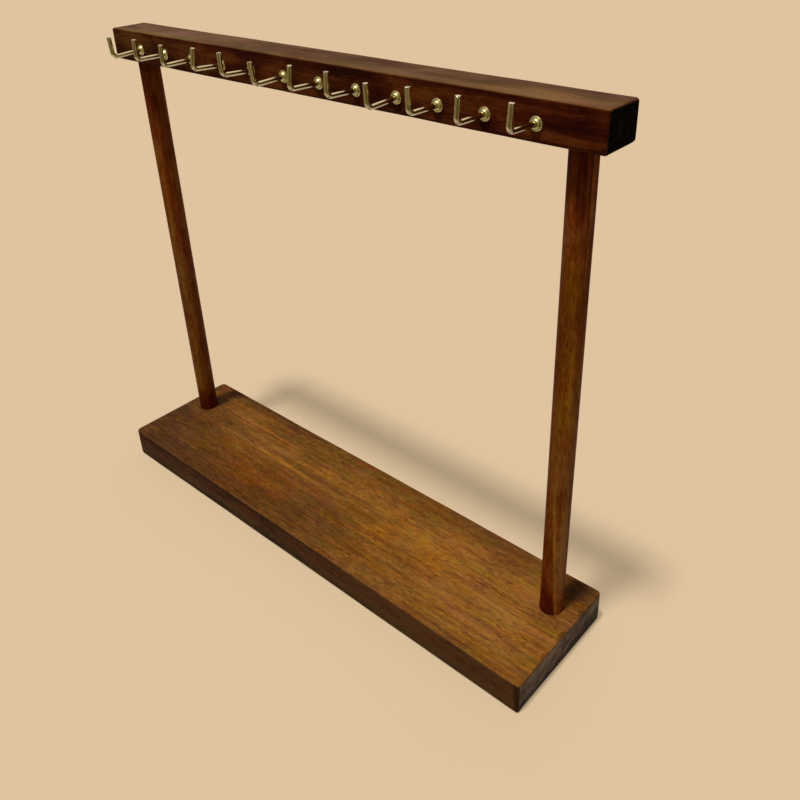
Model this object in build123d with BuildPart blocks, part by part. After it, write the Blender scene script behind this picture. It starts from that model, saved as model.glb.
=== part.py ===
"""Two-post necklace stand: a base board, two round posts, a top bar and two rows of square hooks.

Millimetres, +Z up, X along the boards, -Y towards the front row of hooks.
The origin is the centre of the base board's underside.
"""

import os
from math import cos, radians, sin

from build123d import *

# The base and the bar are crosscut to one length.
board_length = 345.0

# Base board: it lies flat on the table.
base_depth = 82.0
base_thickness = 20.5
base_corner_radius = 3.2
base_edge_chamfer = 1.0
base_socket_floor = 6.5  # wood left under each post

# Top bar
bar_top_height = 302.0  # over the table
bar_depth = 24.0
bar_height = 18.4
bar_corner_radius = 1.6
bar_edge_chamfer = 1.0
bar_socket_floor = 7.5  # wood left over each post

# Posts: two lengths of dowel, glued into blind sockets.
post_diameter = 13.0
post_end_inset = 16.4  # from a board's end to the post's axis
post_back_inset = 27.0  # from the base's back edge to the posts' axes
post_end_chamfer = 0.8
socket_clearance = 0.1  # glue line round a post

# Hooks: brass wire, square bent, with a pointed shank behind the collar. The back row has
# a smaller size of the same hook.
hook_count = 12  # in each row
hook_end_margin = 31.2  # from a bar end to the first mark
front_row_height = 8.2  # from the bar's underside to the shanks
back_row_height = 4.4
wire_diameter = 2.5
front_hook_reach = 19.2  # from the bar's face to the axis of the upright
front_hook_rise = 11.4  # from the axis of the arm to the tip
back_hook_reach = 14.0
back_hook_rise = 8.2
bend_radius = 2.9  # at the axis of the wire
shank_length = 11.4
shank_point = 2.4  # length of the tapered end
shank_tip_diameter = 0.6
pilot_clearance = 0.05
pilot_spare = 0.3  # drilled past the point
pilot_lead = 0.3  # the drill starts this far outside the face

# Collar of a hook: its rim seats on the bar's face, and its dome closes round the wire.
collar_diameter = 6.4
collar_height = 2.0
collar_rim = 0.5  # straight edge of the rim
collar_waist_diameter = 5.0  # where the dome's two slopes meet
collar_waist_height = 1.4
collar_clearance = 0.15

# Each hook was turned in by hand, so it stops a little off square and off its mark.
# Lean turns a hook about its shank, to the left as one faces its row, and rise is the
# upward slope of its arm, both in degrees.
hook_leans = [2, -3, -4, -9, 6, 9, -6, -1, 0, 2, -4, -3]
arm_rises = [-3, 0, -1, 3, 3, -2, 2, 2, -3, 1, 1, 3]
mark_errors = [-1.0, -2.0, -1.5, 0.5, 0.0, 0.0, 0.5, 0.5, 0.5, -1.0, -1.0, -1.0]

# Countersunk screws: one goes up through the base into each post.
screw_diameter = 3.2
screw_head_diameter = 6.6
screw_head_land = 0.4  # straight edge of the head
screw_length = 28.0
screw_point = 4.0
screw_tip_diameter = 0.4
screw_clearance = 0.3  # round the shank where it passes through the base
screw_sink = 0.3  # from the underside to the head
screw_seat_gap = 0.05
recess_width = 0.9
recess_span = 3.6
recess_depth = 1.2

# Places that follow from the sizes above
bar_underside = bar_top_height - bar_height
post_x = board_length / 2 - post_end_inset
post_y = base_depth / 2 - post_back_inset
post_bottom = base_socket_floor
post_top = bar_top_height - bar_socket_floor
post_places = [(-post_x, post_y), (post_x, post_y)]
socket_radius = post_diameter / 2 + socket_clearance
hook_pitch = (board_length - 2 * hook_end_margin) / (hook_count - 1)
screw_pilot_radius = screw_diameter / 2 + pilot_clearance

os.makedirs("parts", exist_ok=True)


def hand_in(part, name):
    """Label a finished piece and write it under its name."""
    part.label = name
    export_step(part, f"parts/{name}.step")


def row_seats(side, row_height):
    """Planes of one row's hooks, where side is -1 for the front row and 1 for the back row.

    Each origin is on the bar's face at the hook's mark. The plane's x runs out along
    the arm, and its y runs up along the upright.
    """
    seats = []
    for index in range(hook_count):
        lean = radians(hook_leans[index % len(hook_leans)])
        rise = radians(arm_rises[index % len(arm_rises)])
        mark_x = (index - (hook_count - 1) / 2) * hook_pitch
        mark_x += mark_errors[index % len(mark_errors)]
        outward = Vector(0, side * cos(rise), sin(rise))
        square_up = Vector(0, -side * sin(rise), cos(rise))
        across = outward.cross(square_up)
        normal = across * cos(lean) - square_up * sin(lean)
        origin = Vector(mark_x, post_y + side * bar_depth / 2, bar_underside + row_height)
        seats.append(Plane(origin=origin, x_dir=outward, z_dir=normal))
    return seats


def make_hook(seat, reach, rise):
    """Wire hook: shank, arm, bend and upright are one sweep, and the shank tapers to a point."""
    point_start = shank_point - shank_length
    with BuildPart() as hook:
        with BuildLine(seat) as wire:
            FilletPolyline((point_start, 0), (reach, 0), (reach, rise), radius=bend_radius)
        with BuildSketch(Plane(origin=wire.line @ 0, z_dir=seat.x_dir)):
            Circle(wire_diameter / 2)
        sweep(path=wire.line)
        with BuildSketch(seat):
            with BuildLine():
                Polyline(
                    (point_start, 0),
                    (point_start, wire_diameter / 2),
                    (-shank_length, shank_tip_diameter / 2),
                    (-shank_length, 0),
                    close=True,
                )
            make_face()
        revolve(axis=Axis(seat.origin, seat.x_dir))
    return hook.part


def make_collar(seat, side):
    """Pressed collar: a straight rim, then a dome in two slopes that ends at the wire."""
    bore_radius = wire_diameter / 2 + collar_clearance
    profile = Plane(origin=seat.origin, x_dir=(0, side, 0), z_dir=(side, 0, 0))
    with BuildPart() as collar:
        with BuildSketch(profile):
            with BuildLine():
                Polyline(
                    (0, bore_radius),
                    (0, collar_diameter / 2),
                    (collar_rim, collar_diameter / 2),
                    (collar_waist_height, collar_waist_diameter / 2),
                    (collar_height, bore_radius),
                    close=True,
                )
            make_face()
        revolve(axis=Axis(seat.origin, (0, side, 0)))
    return collar.part


def make_post(place_x, place_y):
    """Length of dowel with eased ends, drilled up its foot for the screw."""
    with BuildPart() as post:
        with BuildSketch(Plane.XY.offset(post_bottom)):
            with Locations((place_x, place_y)):
                Circle(post_diameter / 2)
        extrude(amount=post_top - post_bottom)
        chamfer(post.edges().filter_by(GeomType.CIRCLE), post_end_chamfer)
        with BuildSketch(Plane.XY.offset(post_bottom)):
            with Locations((place_x, place_y)):
                Circle(screw_pilot_radius)
        screw_reach = screw_sink + screw_length - post_bottom
        extrude(amount=screw_reach + pilot_spare, mode=Mode.SUBTRACT)
    return post.part


def make_post_screw(place_x, place_y):
    """Countersunk wood screw, head down, with a cross recess."""
    head_radius = screw_head_diameter / 2
    shank_radius = screw_diameter / 2
    profile = Plane(origin=(place_x, place_y, screw_sink), x_dir=(1, 0, 0), z_dir=(0, -1, 0))
    cone_height = head_radius - shank_radius
    with BuildPart() as screw:
        with BuildSketch(profile):
            with BuildLine():
                Polyline(
                    (0, 0),
                    (head_radius, 0),
                    (head_radius, screw_head_land),
                    (shank_radius, screw_head_land + cone_height),
                    (shank_radius, screw_length - screw_point),
                    (screw_tip_diameter / 2, screw_length),
                    (0, screw_length),
                    close=True,
                )
            make_face()
        revolve(axis=Axis((place_x, place_y, 0), (0, 0, 1)))
        with BuildSketch(Plane.XY.offset(screw_sink)):
            with Locations((place_x, place_y)):
                Rectangle(recess_span, recess_width)
                Rectangle(recess_width, recess_span)
        extrude(amount=recess_depth, mode=Mode.SUBTRACT)
    return screw.part


# Base board: eased edges, a blind socket for each post and a countersunk hole under it
with BuildPart() as base_board:
    with BuildSketch():
        RectangleRounded(board_length, base_depth, base_corner_radius)
    extrude(amount=base_thickness)
    flat_faces = base_board.faces().filter_by(Axis.Z)
    chamfer(flat_faces.edges(), base_edge_chamfer)
    with BuildSketch(Plane.XY.offset(post_bottom)):
        with Locations(*post_places):
            Circle(socket_radius)
    extrude(amount=base_thickness - post_bottom, mode=Mode.SUBTRACT)
    with Locations(*[Plane(origin=(x, y, 0), z_dir=(0, 0, -1)) for x, y in post_places]):
        CounterSinkHole(
            radius=screw_diameter / 2 + screw_clearance,
            counter_sink_radius=screw_head_diameter / 2 + screw_sink + screw_head_land + screw_seat_gap,
            depth=base_thickness,
            counter_sink_angle=90,
        )
hand_in(base_board.part, "base_board")

# Top bar: sockets in its underside and a row of pilot holes in each long face
front_seats = row_seats(-1, front_row_height)
back_seats = row_seats(1, back_row_height)
with BuildPart() as top_bar:
    with BuildSketch(Plane.XY.offset(bar_underside)):
        with Locations((0, post_y)):
            RectangleRounded(board_length, bar_depth, bar_corner_radius)
    extrude(amount=bar_height)
    flat_faces = top_bar.faces().filter_by(Axis.Z)
    chamfer(flat_faces.edges(), bar_edge_chamfer)
    with BuildSketch(Plane.XY.offset(bar_underside)):
        with Locations(*post_places):
            Circle(socket_radius)
    extrude(amount=post_top - bar_underside, mode=Mode.SUBTRACT)
    for seat in front_seats + back_seats:
        with BuildSketch(Plane(origin=seat.origin, z_dir=seat.x_dir).offset(pilot_lead)):
            Circle(wire_diameter / 2 + pilot_clearance)
        extrude(amount=-(pilot_lead + shank_length + pilot_spare), mode=Mode.SUBTRACT)
hand_in(top_bar.part, "top_bar")

# Posts and the screw in each one's foot
for (place_x, place_y), end in zip(post_places, ("left", "right")):
    hand_in(make_post(place_x, place_y), f"{end}_post")
    hand_in(make_post_screw(place_x, place_y), f"{end}_post_screw")

# Hooks and their collars, numbered from the left
for side, row, seats, reach, rise in (
    (-1, "front", front_seats, front_hook_reach, front_hook_rise),
    (1, "back", back_seats, back_hook_reach, back_hook_rise),
):
    for number, seat in enumerate(seats, start=1):
        hand_in(make_hook(seat, reach, rise), f"hook_{row}_{number:02d}")
        hand_in(make_collar(seat, side), f"collar_{row}_{number:02d}")
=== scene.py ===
"""Finishes and finely shaped pieces of a two-post necklace stand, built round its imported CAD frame.

Metres, +Z up, X along the boards, -Y towards the front row of hooks. Lengths are written
in millimetres and multiplied by mm where they go into a mesh.
"""

from math import cos, pi, radians, sin

import bmesh
import bpy
import numpy as np
from mathutils import Matrix, Vector


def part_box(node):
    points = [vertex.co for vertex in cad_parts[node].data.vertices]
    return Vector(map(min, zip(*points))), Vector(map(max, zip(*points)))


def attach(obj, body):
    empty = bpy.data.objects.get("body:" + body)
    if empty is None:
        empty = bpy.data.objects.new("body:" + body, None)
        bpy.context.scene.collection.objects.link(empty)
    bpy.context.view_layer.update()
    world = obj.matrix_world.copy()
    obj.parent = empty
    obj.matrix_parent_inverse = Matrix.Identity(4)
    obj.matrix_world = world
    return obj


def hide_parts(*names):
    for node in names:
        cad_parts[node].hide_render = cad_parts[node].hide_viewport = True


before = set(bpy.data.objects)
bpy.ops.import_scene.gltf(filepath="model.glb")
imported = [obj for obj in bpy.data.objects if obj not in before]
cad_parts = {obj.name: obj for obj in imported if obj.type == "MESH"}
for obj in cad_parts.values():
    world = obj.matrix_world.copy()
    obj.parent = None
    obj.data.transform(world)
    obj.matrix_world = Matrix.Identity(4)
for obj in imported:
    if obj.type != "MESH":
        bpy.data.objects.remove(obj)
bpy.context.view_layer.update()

mm = 0.001


# Studio: a plain pale tan tabletop that runs on as the backdrop, one high key light a little to
# the front, weak wide fills from the right and the back, and a sky that is brightest overhead.
# The camera stands at the photograph's angle, in front of the right end and above the bar.
picture_side = 800  # pixels
focal_length = 833.3  # pixels
axis_row = 319.4  # the pixel row that the optical axis meets
sensor_width = 36.0
camera_azimuth = radians(42.87)
camera_elevation = radians(28.76)
camera_roll = radians(-2.31)
camera_distance = 376.6 * mm
camera_target = Vector((97.7, -37.1, 204.6)) * mm
floor_side = 12.0
floor_drop = 0.1 * mm
floor_tan = (0.742, 0.552, 0.347, 1.0)
floor_lit = (0.724, 0.539, 0.341, 1.0)  # meets the backdrop's tone under the lights
floor_return = (0.13, 0.10, 0.07, 1.0)  # what the floor throws back at the stand
lamps = {  # azimuth, elevation and spread in degrees, and strength
    "key": (-9.0, 76.0, 6.5, 2.5),
    "fill": (75.0, 20.0, 60.0, 0.14),
    "rear": (200.0, 35.0, 60.0, 0.25),
}
sky_low = 0.07  # strength at the horizon
sky_high = 0.26  # strength overhead
room_pale = (0.68, 0.56, 0.63, 1.0)  # what metal reflects of the wall behind and the panel
room_paper = (0.51, 0.44, 0.45, 1.0)  # what metal reflects of the lit paper
room_dim = (0.090, 0.065, 0.010, 1.0)  # what metal reflects of the unlit room
lit_place = (-0.16, 0.10, 0.0)  # middle of the lit paper, behind the stand's left half
unlit_place = (0.85, -0.80, 0.0)  # middle of the unlit floor, at the front right
rear_left = (-0.55, 0.83, 0.0)  # towards the pale wall behind
front_left = (-0.62, -0.74, 0.26)  # towards the pale wall at the front


def feed(tree, socket, value):
    """Links another socket to an input, or sets the input's value. Set colours are opaque."""
    if isinstance(value, bpy.types.NodeSocket):
        tree.links.new(value, socket)
    else:
        socket.default_value = (*value[:3], 1.0) if socket.type == "RGBA" else value


def node(tree, kind, inputs=(), **settings):
    """Adds a shader node. Inputs hold plain values or the sockets that feed them."""
    made = tree.nodes.new("ShaderNode" + kind)
    for key, value in settings.items():
        setattr(made, key, value)
    for key, value in dict(inputs).items():
        feed(tree, made.inputs[key], value)
    return made


def maths(tree, operation, *values, clamp=False):
    """Math node's result for up to three values or sockets."""
    return node(tree, "Math", enumerate(values), operation=operation, use_clamp=clamp).outputs[0]


def vector_maths(tree, operation, *values):
    """Vector Math node's result, which is a number for a distance, a length or a dot product."""
    made = node(tree, "VectorMath", enumerate(values), operation=operation)
    return made.outputs[1 if operation in ("DISTANCE", "LENGTH", "DOT_PRODUCT") else 0]


def ease_range(tree, value, start, end, low=0.0, high=1.0):
    """low up to start and high from end on, with a smooth step between them."""
    inputs = {"Value": value, "From Min": start, "From Max": end, "To Min": low, "To Max": high}
    return node(tree, "MapRange", inputs, interpolation_type="SMOOTHSTEP").outputs[0]


def mix_colour(tree, share, first, second, blend="MIX"):
    """Colour between two colours."""
    inputs = {"Factor": share, 6: first, 7: second}
    return node(tree, "Mix", inputs, data_type="RGBA", blend_type=blend).outputs[2]


def mix_shaders(tree, share, first, second):
    """Shader node between two shader nodes."""
    return node(tree, "MixShader", {0: share, 1: first.outputs[0], 2: second.outputs[0]})


def new_material(name):
    """Empty node material and its tree, with a surface output."""
    material = bpy.data.materials.new(name)
    material.use_nodes = True
    material.node_tree.nodes.clear()
    node(material.node_tree, "OutputMaterial")
    return material, material.node_tree


def show_surface(tree, shader):
    """Links a shader node to the material's output."""
    output = next(n for n in tree.nodes if n.bl_idname == "ShaderNodeOutputMaterial")
    tree.links.new(shader.outputs[0], output.inputs["Surface"])


def light_direction(azimuth, elevation):
    """Unit vector towards a light: azimuth 0 is in front and turns to the right."""
    return Vector(
        (sin(azimuth) * cos(elevation), -cos(azimuth) * cos(elevation), sin(elevation))
    )


back = light_direction(camera_azimuth, camera_elevation)
level_right = Vector((0, 0, 1)).cross(back).normalized()
level_up = back.cross(level_right)
view_right = level_right * cos(camera_roll) + level_up * sin(camera_roll)
view_up = level_up * cos(camera_roll) - level_right * sin(camera_roll)
camera_place = camera_target + back * camera_distance
camera_data = bpy.data.cameras.new("camera")
camera_data.sensor_width = sensor_width
camera_data.lens = focal_length / picture_side * sensor_width
camera_data.shift_y = (axis_row - picture_side / 2) / picture_side
camera_data.clip_start = 0.01
camera = bpy.data.objects.new("camera", camera_data)
turn = Matrix((view_right, view_up, back)).transposed().to_4x4()
camera.matrix_world = Matrix.Translation(camera_place) @ turn
bpy.context.collection.objects.link(camera)
bpy.context.scene.camera = camera
bpy.context.scene.view_settings.view_transform = "Standard"

half_floor = floor_side / 2
floor_mesh = bpy.data.meshes.new("floor")
floor_corners = [
    (x * half_floor, y * half_floor, -floor_drop) for x, y in ((-1, -1), (1, -1), (1, 1), (-1, 1))
]
floor_mesh.from_pydata(floor_corners, [], [(0, 1, 2, 3)])
floor = bpy.data.objects.new("floor", floor_mesh)
bpy.context.collection.objects.link(floor)
floor_material, tree = new_material("matt_tan_paper")
coordinates = node(tree, "TexCoord").outputs["Object"]
paper = node(tree, "TexNoise", {"Vector": coordinates, "Scale": 900.0, "Detail": 3.0})
inputs = {"Height": paper.outputs[0], "Distance": 0.02 * mm, "Strength": 0.4}
paper_bump = node(tree, "Bump", inputs).outputs[0]
lit_paper = node(tree, "BsdfDiffuse", {"Color": floor_lit, "Normal": paper_bump})
plain_paper = node(tree, "Emission", {"Color": floor_tan})
seen_paper = mix_shaders(tree, 0.4, lit_paper, plain_paper)
# Metal shows the paper pale round the stand and behind it, and dim where the room is unlit.
from_lit_place = vector_maths(tree, "DISTANCE", coordinates, lit_place)
lit_share = ease_range(tree, from_lit_place, 0.74, 0.32, low=0.25)
from_unlit_place = vector_maths(tree, "DISTANCE", coordinates, unlit_place)
lit_share = maths(tree, "MULTIPLY", lit_share, ease_range(tree, from_unlit_place, 0.4, 1.0))
mirrored = mix_colour(tree, lit_share, room_dim, room_paper)
mirrored_paper = node(tree, "BsdfDiffuse", {"Color": mirrored, "Normal": paper_bump})
dull_paper = node(tree, "BsdfDiffuse", {"Color": floor_return, "Normal": paper_bump})
rays = node(tree, "LightPath").outputs
straight = maths(tree, "MAXIMUM", rays["Is Camera Ray"], rays["Is Transmission Ray"])
unseen_paper = mix_shaders(tree, rays["Is Glossy Ray"], dull_paper, mirrored_paper)
show_surface(tree, mix_shaders(tree, straight, unseen_paper, seen_paper))
floor_mesh.materials.append(floor_material)

world = bpy.data.worlds.new("studio")
world.use_nodes = True
tree = world.node_tree
tree.nodes.clear()
gaze = node(tree, "TexCoord").outputs["Generated"]
direction = node(tree, "SeparateXYZ", {0: gaze}).outputs
inputs = {"Value": direction[2], "To Min": sky_low, "To Max": sky_high}
sky = node(tree, "MapRange", inputs).outputs[0]
lighting = node(tree, "Background", {"Color": (1.0, 0.98, 0.95, 1.0), "Strength": sky})
backdrop = node(tree, "Background", {"Color": floor_tan, "Strength": 1.0})
# Metal shows a pale wall behind left, another at the front left, and a pale panel overhead.
to_rear_left = vector_maths(tree, "DOT_PRODUCT", gaze, rear_left)
to_front_left = vector_maths(tree, "DOT_PRODUCT", gaze, front_left)
pale_share = maths(
    tree,
    "MAXIMUM",
    ease_range(tree, to_rear_left, 0.1, 0.75, high=0.72),
    ease_range(tree, direction[2], 0.45, 0.85, high=0.9),
)
front_wall = ease_range(tree, to_front_left, 0.78, 0.96, high=0.55)
pale_share = maths(tree, "MAXIMUM", pale_share, front_wall)
room = mix_colour(tree, pale_share, room_dim, room_pale)
mirrored = node(tree, "Background", {"Color": room, "Strength": 1.0})
rays = node(tree, "LightPath").outputs
straight = maths(tree, "MAXIMUM", rays["Is Camera Ray"], rays["Is Transmission Ray"])
unseen = mix_shaders(tree, rays["Is Glossy Ray"], lighting, mirrored)
seen = mix_shaders(tree, straight, unseen, backdrop)
node(tree, "OutputWorld", {"Surface": seen.outputs[0]})
bpy.context.scene.world = world

for name, (azimuth, elevation, spread, strength) in lamps.items():
    light = bpy.data.lights.new(name, "SUN")
    light.energy, light.angle = strength, radians(spread)
    lamp = bpy.data.objects.new(name, light)
    towards = light_direction(radians(azimuth), radians(elevation))
    lamp.rotation_euler = towards.to_track_quat("Z", "Y").to_euler()
    bpy.context.collection.objects.link(lamp)


# Base board: one piece of close-grained timber, crosscut, sanded and stained walnut brown, with
# its edges eased by hand. Two blind sockets take the posts, and a countersunk hole goes up
# through the underside into each socket.
base_low, base_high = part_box("base_board")
post_low, post_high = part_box("left_post")
post_radius = (post_high.x - post_low.x) / 2
post_x = -(post_low.x + post_high.x) / 2
post_y = (post_low.y + post_high.y) / 2
socket_clearance = 0.1 * mm
socket_mouth = 0.3 * mm  # the drilled edge is rounded over by sanding
base_corners = [1.4 * mm, 3.2 * mm, 3.2 * mm, 3.4 * mm]  # from the front right, turning left
base_eases = [1.1 * mm, 2.6 * mm, 1.1 * mm, 1.5 * mm]  # front and back below, then above
screw_low, screw_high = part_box("left_post_screw")
screw_head_radius = (screw_high.x - screw_low.x) / 2
screw_hole_radius = 1.9 * mm
base_size = base_high - base_low


def edge_waver(count, seed, waves=(3, 5, 9, 17)):
    """Slow waver from -1 to 1 round a closed edge: a sum of sines with seeded phases."""
    phases = np.random.default_rng(seed).uniform(0, 2 * pi, len(waves))
    turn = np.linspace(0, 2 * pi, count, endpoint=False)
    total = sum(np.sin(wave * turn + phase) for wave, phase in zip(waves, phases))
    return total / len(waves)


def board_rings(low, high, corners, eases, seed, end_steps=14, side_steps=70, turn_steps=7):
    """Rings of a board with rounded corners and eased edges, from under its middle to above it.

    Each ring is the plan outline at an inset: a point on the inner rectangle plus the corner
    radius less the inset, in the outward direction. The four corner radii differ, and blend
    along the sides. The insets and heights follow a quarter circle at each eased edge, whose
    radius wavers round the board. The eases are the radii under the front and the back edge,
    then over them.
    """
    half_x, half_y = (high.x - low.x) / 2, (high.y - low.y) / 2
    arc = np.linspace(0, pi / 2, turn_steps)[1:-1]
    side_x, side_y, angle, corner = [], [], [], []
    for k, (steps, x, y) in enumerate(
        (
            (end_steps, (1, 1), (-1, 1)),
            (side_steps, (1, -1), (1, 1)),
            (end_steps, (-1, -1), (1, -1)),
            (side_steps, (-1, 1), (-1, -1)),
        )
    ):
        following = corners[(k + 1) % 4]
        side_x += [np.linspace(*x, steps), np.full(len(arc), x[1])]
        side_y += [np.linspace(*y, steps), np.full(len(arc), y[1])]
        angle += [np.full(steps, k * pi / 2), k * pi / 2 + arc]
        corner += [np.linspace(corners[k], following, steps), np.full(len(arc), following)]
    side_x, side_y, angle, corner = map(np.concatenate, (side_x, side_y, angle, corner))
    inner_x, inner_y = half_x - corner, half_y - corner
    base_x, base_y = side_x * inner_x, side_y * inner_y
    waver = 1 + 0.3 * edge_waver(len(angle), seed)
    to_back = (1 + np.sin(angle)) / 2
    under, over = (
        waver * (front + (behind - front) * to_back) for front, behind in (eases[:2], eases[2:])
    )
    # A corner has one ease all round. With several, its points would fold over each other.
    for end_x, end_y in ((1, 1), (-1, 1), (-1, -1), (1, -1)):
        here = (side_x == end_x) & (side_y == end_y)
        under[here], over[here] = under[here].mean(), over[here].mean()

    top, largest = high.z - low.z, max(eases)
    quarter = np.linspace(0, pi / 2, 8)[:, None]
    flat = np.array([half_y, half_y * 0.65, largest * 2.0, largest * 1.4])[:, None]
    assert np.all(np.diff(flat[:, 0]) < 0), "the flat's rings must not fold over each other"
    rise = np.linspace(2.2 * largest, top - 2.2 * largest, 5)[:, None]
    level = np.zeros(len(angle))
    inset = [flat + level, (1 - np.sin(quarter)) * under, 0 * rise + level]
    inset += [(1 - np.sin(quarter[::-1])) * over, flat[::-1] + level]
    height = [0 * flat + level, (1 - np.cos(quarter)) * under, rise + level]
    height += [top - (1 - np.cos(quarter[::-1])) * over, top + 0 * flat + level]
    inset, height = np.concatenate(inset), np.concatenate(height)
    shrink = np.maximum(inset - corner, 0)
    reach = np.maximum(corner - inset, 0)
    x = np.clip(base_x, shrink - inner_x, inner_x - shrink) + reach * np.cos(angle)
    y = np.clip(base_y, shrink - inner_y, inner_y - shrink) + reach * np.sin(angle)
    x[[0, -1]] = side_x * (half_x - half_y)  # the front and the back meet along the middle
    y[[0, -1]] = 0
    centre = (low + high) / 2
    return np.stack([x + centre.x, y + centre.y, height + low.z], -1)


def ring_mesh(name, rings, closed=False, along=None):
    """Mesh of an array of rings, rows by columns by 3, where each row goes round once.

    Neighbouring rings are joined by quads, and closed joins the last ring to the first. A ring
    whose points meet becomes a pole or a seam when the doubles are merged. The UV map holds
    the share of a turn and the distance along, in the same unit as the rings.
    """
    rows, columns = rings.shape[:2]
    row = np.arange(rows if closed else rows - 1)[:, None]
    column = np.arange(columns)[None, :]
    near, far = row * columns, (row + 1) % rows * columns
    following = (column + 1) % columns
    quads = np.stack([near + column, near + following, far + following, far + column], -1)
    mesh = bpy.data.meshes.new(name)
    mesh.from_pydata(rings.reshape(-1, 3), [], quads.reshape(-1, 4))
    if along is None:
        steps = np.linalg.norm(np.diff(rings.mean(1), axis=0), axis=1)
        along = np.concatenate([[0], np.cumsum(steps)])
    around = np.stack(np.broadcast_arrays(column, column + 1, column + 1, column), -1) / columns
    distance = np.append(along, along[-1])
    distance = np.stack(np.broadcast_arrays(*[distance[row + k] for k in (0, 0, 1, 1)]), -1)
    around = np.broadcast_to(around, quads.shape)
    distance = np.broadcast_to(distance, quads.shape)
    layer = mesh.uv_layers.new(name="UVMap")
    layer.data.foreach_set("uv", np.stack([around, distance], -1).astype(np.float32).ravel())
    tidy_mesh(mesh)
    return mesh


def tidy_mesh(mesh, sharp_angle=radians(38)):
    """Merges doubles, drops faces of no area, turns the rest outwards and shades them smooth."""
    work = bmesh.new()
    work.from_mesh(mesh)
    bmesh.ops.remove_doubles(work, verts=work.verts, dist=1e-7)
    bmesh.ops.dissolve_degenerate(work, dist=1e-7, edges=work.edges)
    bmesh.ops.recalc_face_normals(work, faces=work.faces)
    work.to_mesh(mesh)
    work.free()
    mesh.shade_smooth()
    mesh.set_sharp_from_angle(angle=sharp_angle)


def turned_rings(profile, centre, axis=(0, 0, 1), columns=48):
    """Rings of a turned piece: each profile point is a radius and a distance along the axis."""
    profile = np.array(profile, float)
    axis = np.array(axis, float)
    side = np.cross(axis, (1, 0, 0) if abs(axis[0]) < 0.9 else (0, 1, 0))
    side /= np.linalg.norm(side)
    other = np.cross(axis, side)
    angle = np.linspace(0, 2 * pi, columns, endpoint=False)[None, :, None]
    radius, distance = profile[:, 0][:, None, None], profile[:, 1][:, None, None]
    ring = np.cos(angle) * side + np.sin(angle) * other
    return np.array(centre, float) + radius * ring + distance * axis


def add_piece(name, mesh, material, replaced):
    """Finished piece at the origin that rides on the stand and stands for a CAD node."""
    piece = bpy.data.objects.new(name, mesh)
    bpy.context.collection.objects.link(piece)
    mesh.materials.clear()
    mesh.materials.append(material)
    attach(piece, "root")
    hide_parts(replaced)
    return piece


def drilled(mesh, bits):
    """The mesh with all the bits, closed meshes too, cut out of it."""
    blank = bpy.data.objects.new("blank", mesh)
    joined = bmesh.new()
    for bit in bits:
        joined.from_mesh(bit)
    bit_mesh = bpy.data.meshes.new("bits")
    joined.to_mesh(bit_mesh)
    joined.free()
    drill = bpy.data.objects.new("drill", bit_mesh)
    for holder in (blank, drill):
        bpy.context.collection.objects.link(holder)
    cut = blank.modifiers.new("drilled", "BOOLEAN")
    cut.operation, cut.solver, cut.object = "DIFFERENCE", "EXACT", drill
    graph = bpy.context.evaluated_depsgraph_get()
    made = bpy.data.meshes.new_from_object(blank.evaluated_get(graph))
    for holder in (blank, drill):
        bpy.data.objects.remove(holder)
    tidy_mesh(made)
    return made


def group_sockets(name, inputs, outputs):
    """Empty node group with named sockets. A vector or colour is told from its default."""
    group = bpy.data.node_groups.new(name, "ShaderNodeTree")
    kinds = {3: "NodeSocketVector", 4: "NodeSocketColor"}
    for direction, sockets in (("INPUT", inputs), ("OUTPUT", outputs)):
        for socket_name, value in sockets.items():
            kind = kinds[len(value)] if isinstance(value, tuple) else "NodeSocketFloat"
            socket = group.interface.new_socket(socket_name, in_out=direction, socket_type=kind)
            if direction == "INPUT":
                socket.default_value = value
    return group, group.nodes.new("NodeGroupInput").outputs


def finish_group(group, results):
    """Links the results to the group's outputs."""
    output = group.nodes.new("NodeGroupOutput")
    for socket_name, socket in results.items():
        group.links.new(socket, output.inputs[socket_name])


def use_group(tree, group, inputs):
    """Node that places a group in a tree, with its inputs set or fed."""
    placed = tree.nodes.new("ShaderNodeGroup")
    placed.node_tree = group
    for key, value in inputs.items():
        feed(tree, placed.inputs[key], value)
    return placed.outputs


def stretched_noise(
    tree, place, stretch, detail=3.0, roughness=0.55, distortion=0.0, output="Fac"
):
    """Noise over a place that is multiplied by stretch, in turns per unit along each axis."""
    inputs = {"Vector": vector_maths(tree, "MULTIPLY", place, stretch), "Scale": 1.0}
    inputs |= {"Detail": detail, "Roughness": roughness, "Distortion": distortion}
    return node(tree, "TexNoise", inputs).outputs[output]


# Stained wood, as a group: place is in millimetres, with the grain along X. Growth rings go round
# a heart line that lies outside the piece and wander along it. Over them lie broad bands, fine
# fibres, stain blotches and short open pores.
grey = (0.5, 0.5, 0.5, 1.0)
wood_inputs = {
    "Place": (0.0, 0.0, 0.0),
    "Heart": (0.0, 0.0, 0.0),
    "Ring Width": 4.0,
    "Deep": grey,
    "Main": grey,
    "Glow": grey,
    "Rings": 0.2,
    "Bands": 0.5,
    "Fibres": 0.6,
    "Blotches": 0.5,
    "Pores": 0.6,
    "Tone": 0.0,
    "Blush": 0.0,
    "Haze": 0.0,
    "Hues": 2.2,
}
wood_outputs = {"Color": grey, "Height": 0.0, "Tone": 0.0}
wood_group, given = group_sockets("stained_wood", wood_inputs, wood_outputs)
tree, place = wood_group, given["Place"]
wander = stretched_noise(
    tree, place, (0.005, 0.02, 0.02), detail=2.0, roughness=0.5, output="Color"
)
wander = vector_maths(tree, "SUBTRACT", wander, (0.5, 0.5, 0.5))
wander = vector_maths(tree, "MULTIPLY", wander, (14.0, 14.0, 14.0))  # millimetres
warped = vector_maths(tree, "ADD", place, wander)
from_heart = vector_maths(tree, "SUBTRACT", warped, given["Heart"])
across = vector_maths(tree, "MULTIPLY", from_heart, (0.0, 1.0, 1.0))
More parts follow.
